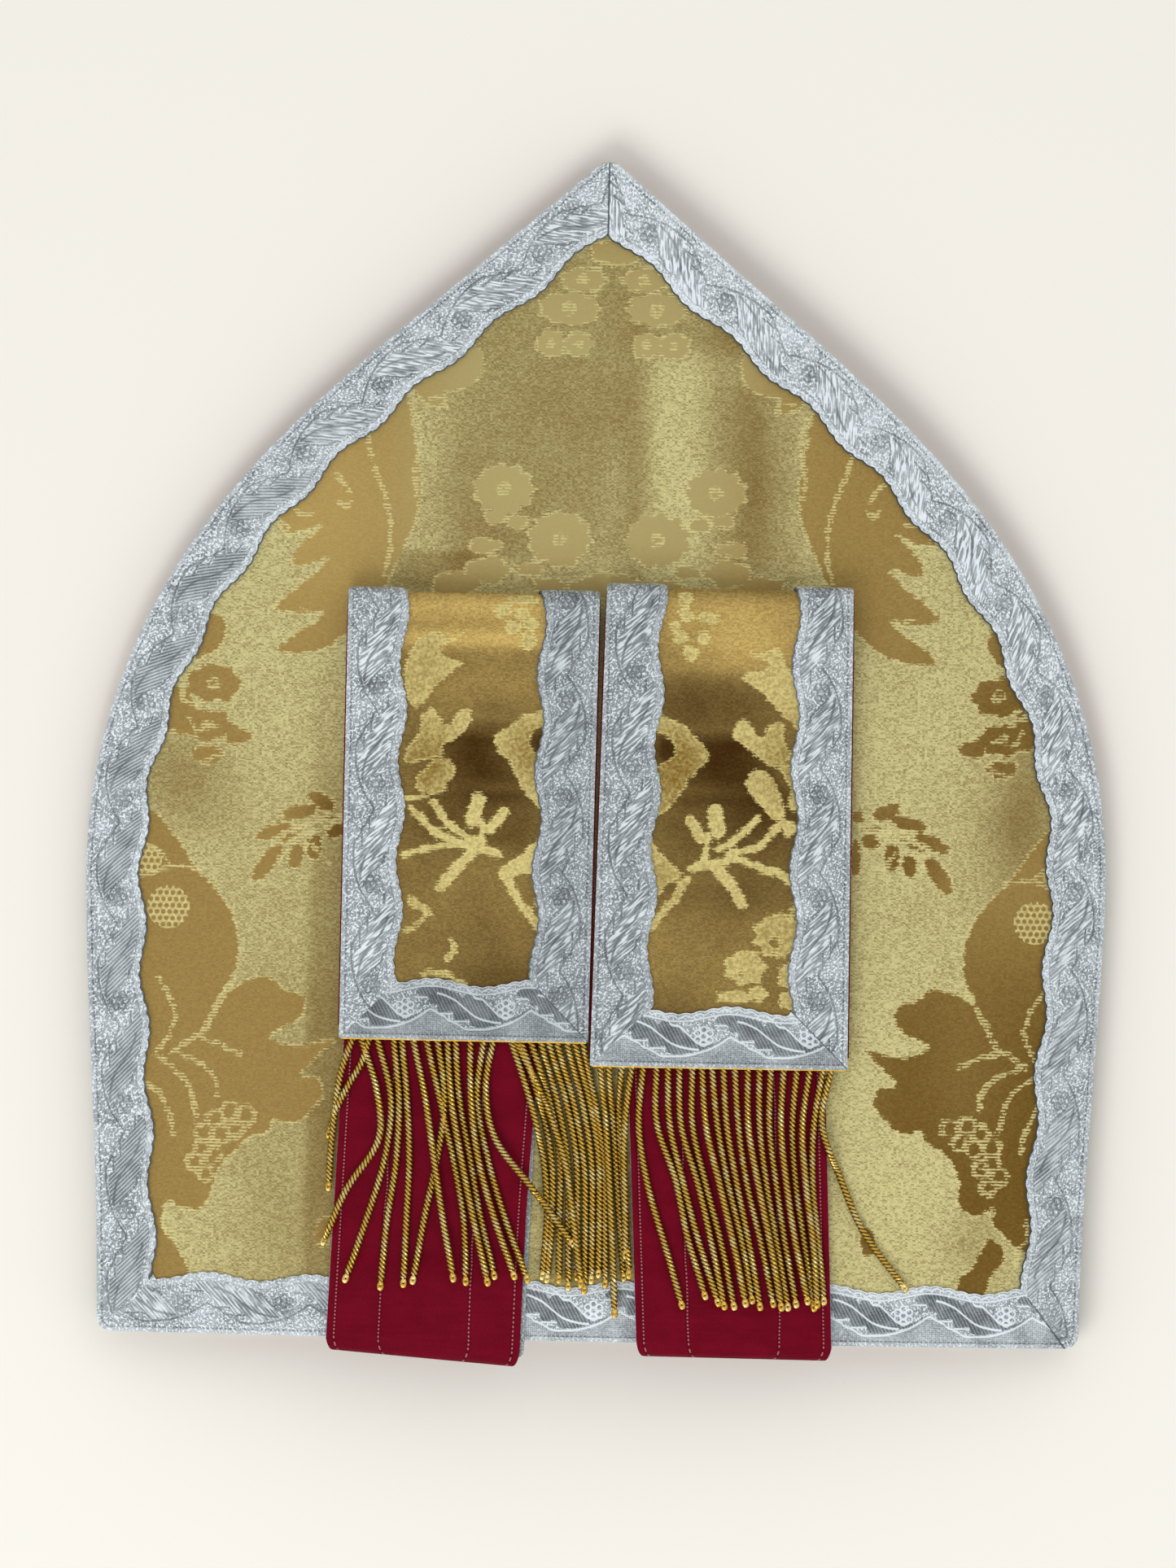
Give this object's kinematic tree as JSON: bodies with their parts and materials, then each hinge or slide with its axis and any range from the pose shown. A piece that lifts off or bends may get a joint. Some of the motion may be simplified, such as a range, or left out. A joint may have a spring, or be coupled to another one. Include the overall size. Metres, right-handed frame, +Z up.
{
  "type": "bishop mitre",
  "caption": "Soft folding bishop's mitre in gold brocade edged with silver braid, lying flat on its front with two fringed lappets folded up over its back.",
  "frame": {"origin": "middle of the part's outline, on the surface it lies on", "axes": "+X across the mitre, +Y from the rim to the point of the horn, +Z up from the surface, out of the back panel"},
  "size_m": [0.3132, 0.3696, 0.0441],
  "materials": {
    "gold_brocade": "gold damask with a satin sheen, darker figures and pale yellow outlines",
    "silver_braid": "woven silver braid with a vine figure and a scalloped inner edge",
    "crimson_silk": "crimson lining silk with pale lines of stitching",
    "gold_cord": "twisted gold bullion cord"
  },
  "bodies": {
    "root": {"back_panel": "gold_brocade", "front_panel": "gold_brocade", "back_braid": "silver_braid", "front_braid": "silver_braid", "crown_web": "crimson_silk", "left_lappet": "gold_brocade", "right_lappet": "gold_brocade", "left_lappet_lining": "crimson_silk", "right_lappet_lining": "crimson_silk", "left_lappet_braid": "silver_braid", "right_lappet_braid": "silver_braid", "left_fringe": "gold_cord", "right_fringe": "gold_cord"}
  },
  "joints": []
}
